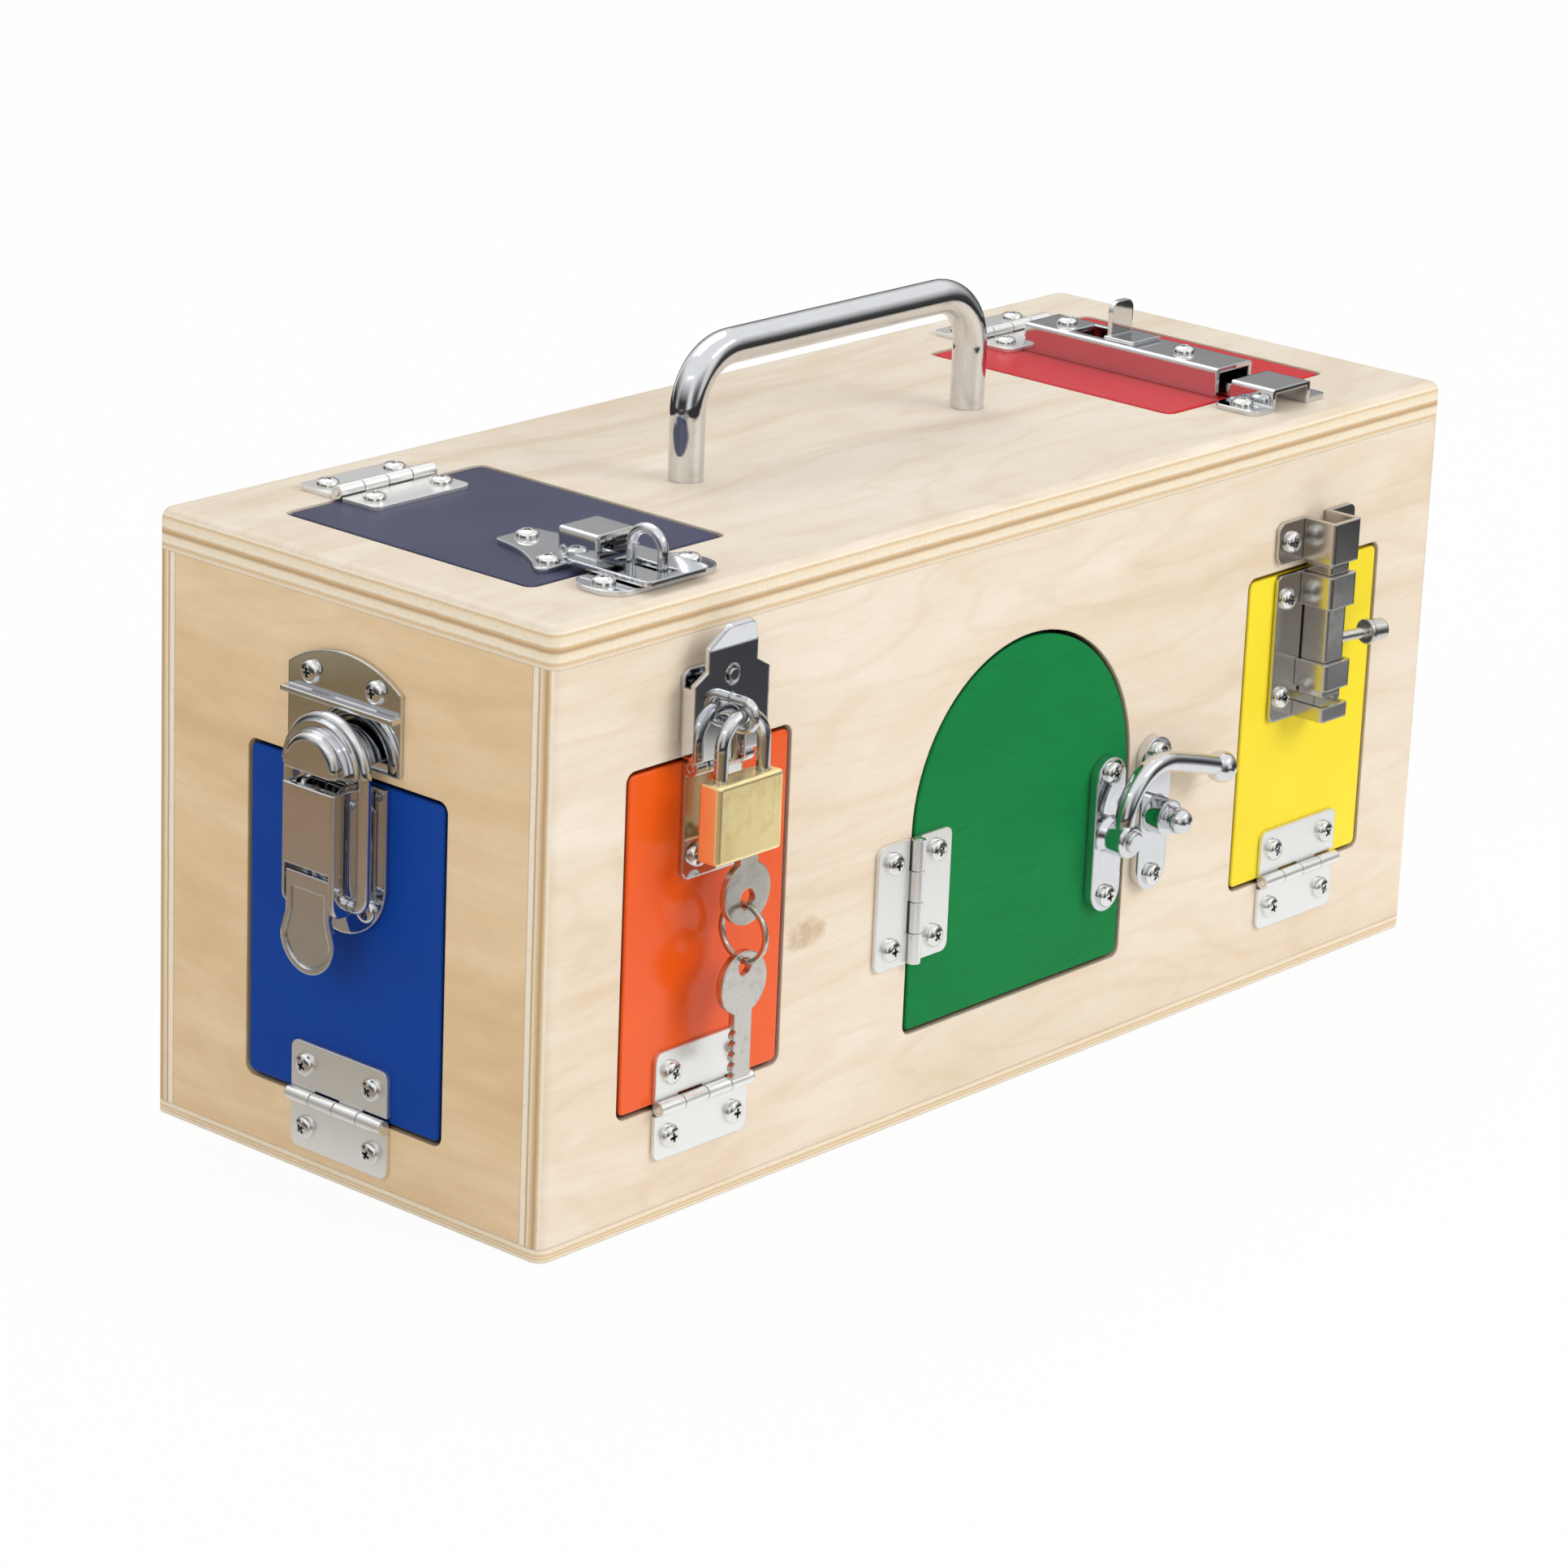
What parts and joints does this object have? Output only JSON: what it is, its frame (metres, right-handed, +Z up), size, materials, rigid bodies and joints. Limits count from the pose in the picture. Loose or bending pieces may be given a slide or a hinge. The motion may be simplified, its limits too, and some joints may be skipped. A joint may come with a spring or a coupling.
{
  "type": "busy box",
  "caption": "Plywood busy box with coloured hinged doors, each shut by a different latch, and a bent-rod carrying handle.",
  "frame": {"origin": "middle of the underside of the box", "axes": "+X along the box, -Y the front with three doors, +Z up"},
  "size_m": [0.3165, 0.1339, 0.17],
  "materials": {
    "birch_ply": "clear-lacquered pale birch plywood",
    "blue_paint": "satin blue paint on plywood",
    "orange_paint": "satin orange paint on plywood",
    "green_paint": "satin green paint on plywood",
    "yellow_paint": "satin yellow paint on plywood",
    "navy_paint": "satin slate navy paint on plywood",
    "red_paint": "glossy red paint on plywood",
    "hinge_steel": "satin zinc-plated steel",
    "bright_chrome": "polished chrome plate",
    "padlock_brass": "satin brushed brass",
    "key_nickel": "nickel plate"
  },
  "bodies": {
    "box": {"top_panel": "birch_ply", "bottom_panel": "birch_ply", "front_panel": "birch_ply", "back_panel": "birch_ply", "left_end_panel": "birch_ply", "right_end_panel": "birch_ply", "handle": "bright_chrome", "handle_bolts": "hinge_steel", "frame_hinge_leaves": "hinge_steel", "hinge_pins": "hinge_steel", "panel_screws": "hinge_steel", "blue_strike": "bright_chrome", "orange_staple": "bright_chrome", "green_stud_plate": "bright_chrome", "yellow_keeper": "bright_chrome", "navy_staple": "bright_chrome", "red_keeper": "bright_chrome"},
    "blue_door": {"blue_door": "blue_paint", "blue_hinge_leaf": "hinge_steel", "blue_door_screws": "hinge_steel", "blue_latch_base": "bright_chrome"},
    "blue_lever": {"blue_latch_lever": "bright_chrome", "blue_latch_pins": "bright_chrome"},
    "blue_bail": {"blue_latch_bail": "bright_chrome"},
    "blue_catch": {"blue_latch_catch": "bright_chrome"},
    "orange_door": {"orange_door": "orange_paint", "orange_hinge_leaf": "hinge_steel", "orange_door_screws": "hinge_steel", "orange_hasp_plate": "bright_chrome", "orange_hasp_pin": "bright_chrome"},
    "orange_strap": {"orange_hasp_strap": "bright_chrome"},
    "shackle": {"padlock_shackle": "bright_chrome"},
    "padlock": {"padlock_body": "padlock_brass"},
    "key": {"padlock_plug": "padlock_brass", "padlock_key": "key_nickel"},
    "key_ring": {"key_ring": "key_nickel"},
    "spare_key": {"spare_key": "key_nickel"},
    "green_door": {"green_door": "green_paint", "green_hinge_leaf": "hinge_steel", "green_door_screws": "hinge_steel", "green_latch_plate": "bright_chrome", "green_pivot_rivet": "bright_chrome"},
    "green_arm": {"green_horn_arm": "bright_chrome"},
    "yellow_door": {"yellow_door": "yellow_paint", "yellow_hinge_leaf": "hinge_steel", "yellow_door_screws": "hinge_steel", "yellow_bolt_plate": "bright_chrome"},
    "yellow_bolt": {"yellow_bolt": "bright_chrome", "yellow_bolt_knob": "bright_chrome"},
    "navy_door": {"navy_door": "navy_paint", "navy_hinge_leaf": "hinge_steel", "navy_door_screws": "hinge_steel", "navy_hasp_plate": "bright_chrome", "navy_hasp_pin": "bright_chrome"},
    "navy_strap": {"navy_hasp_strap": "bright_chrome"},
    "red_door": {"red_door": "red_paint", "red_hinge_leaf": "hinge_steel", "red_door_screws": "hinge_steel", "red_latch_housing": "bright_chrome"},
    "red_bolt": {"red_latch_bolt": "bright_chrome"}
  },
  "joints": [
    {"name": "blue_door_hinge", "type": "hinge", "parent": "box", "child": "blue_door", "pos_m": [-0.15425, 0, 0.0178], "axis": [0, -1, 0], "range_deg": [0, 90]},
    {"name": "blue_lever_hinge", "type": "hinge", "parent": "blue_door", "child": "blue_lever", "pos_m": [-0.1575, 0, 0.089], "axis": [0, -1, 0], "range_deg": [-80, 0]},
    {"name": "blue_bail_hinge", "type": "hinge", "parent": "blue_lever", "child": "blue_bail", "pos_m": [-0.1581, 0, 0.067], "axis": [0, -1, 0], "range_deg": [0, 80]},
    {"name": "blue_catch_hinge", "type": "hinge", "parent": "blue_lever", "child": "blue_catch", "pos_m": [-0.1621, 0, 0.071], "axis": [0, -1, 0], "range_deg": [-40, 0]},
    {"name": "orange_door_hinge", "type": "hinge", "parent": "box", "child": "orange_door", "pos_m": [-0.105, -0.06075, 0.0262], "axis": [1, 0, 0], "range_deg": [0, 90]},
    {"name": "orange_strap_hinge", "type": "hinge", "parent": "orange_door", "child": "orange_strap", "pos_m": [-0.105, -0.0616, 0.1007], "axis": [-1, 0, 0], "range_deg": [-100, 0]},
    {"name": "padlock_swing", "type": "hinge", "parent": "orange_strap", "child": "shackle", "pos_m": [-0.105, -0.0679, 0.112], "axis": [-1, 0, 0], "range_deg": [0, 100]},
    {"name": "padlock_drop", "type": "slide", "parent": "shackle", "child": "padlock", "axis": [0, 0, -1], "range_m": [0, 0.006]},
    {"name": "key_turn", "type": "hinge", "parent": "padlock", "child": "key", "pos_m": [-0.1026, -0.0679, 0.0815], "axis": [0, 0, 1], "range_deg": [-90, 0]},
    {"name": "key_ring_swing", "type": "hinge", "parent": "key", "child": "key_ring", "pos_m": [-0.1026, -0.0679, 0.07], "axis": [0, 1, 0], "range_deg": [-45, 45]},
    {"name": "spare_key_swing", "type": "hinge", "parent": "key_ring", "child": "spare_key", "pos_m": [-0.1026, -0.0679, 0.0575], "axis": [0, 1, 0], "range_deg": [-45, 45]},
    {"name": "green_door_hinge", "type": "hinge", "parent": "box", "child": "green_door", "pos_m": [-0.03775, -0.06075, 0.053], "axis": [0, 0, -1], "range_deg": [0, 100]},
    {"name": "green_arm_turn", "type": "hinge", "parent": "green_door", "child": "green_arm", "pos_m": [0.02895, -0.059, 0.053], "axis": [0, 1, 0], "range_deg": [-80, 0]},
    {"name": "yellow_door_hinge", "type": "hinge", "parent": "box", "child": "yellow_door", "pos_m": [0.105, -0.06075, 0.0262], "axis": [1, 0, 0], "range_deg": [0, 90]},
    {"name": "yellow_bolt_slide", "type": "slide", "parent": "yellow_door", "child": "yellow_bolt", "axis": [0, 0, 1], "range_m": [-0.002, 0.0065]},
    {"name": "navy_door_hinge", "type": "hinge", "parent": "box", "child": "navy_door", "pos_m": [-0.106, 0.0373, 0.13975], "axis": [-1, 0, 0], "range_deg": [0, 105]},
    {"name": "navy_strap_hinge", "type": "hinge", "parent": "navy_door", "child": "navy_strap", "pos_m": [-0.112, -0.0278, 0.141], "axis": [1, 0, 0], "range_deg": [-85, 0]},
    {"name": "red_door_hinge", "type": "hinge", "parent": "box", "child": "red_door", "pos_m": [0.106, 0.0373, 0.13975], "axis": [-1, 0, 0], "range_deg": [0, 105]},
    {"name": "red_bolt_slide", "type": "slide", "parent": "red_door", "child": "red_bolt", "axis": [0, -1, 0], "range_m": [-0.009, 0.006]}
  ],
  "couplings": [
    {"joint": "blue_bail_hinge", "follows": "blue_lever_hinge", "ratio": -1},
    {"joint": "padlock_swing", "follows": "orange_strap_hinge", "ratio": -1}
  ]
}
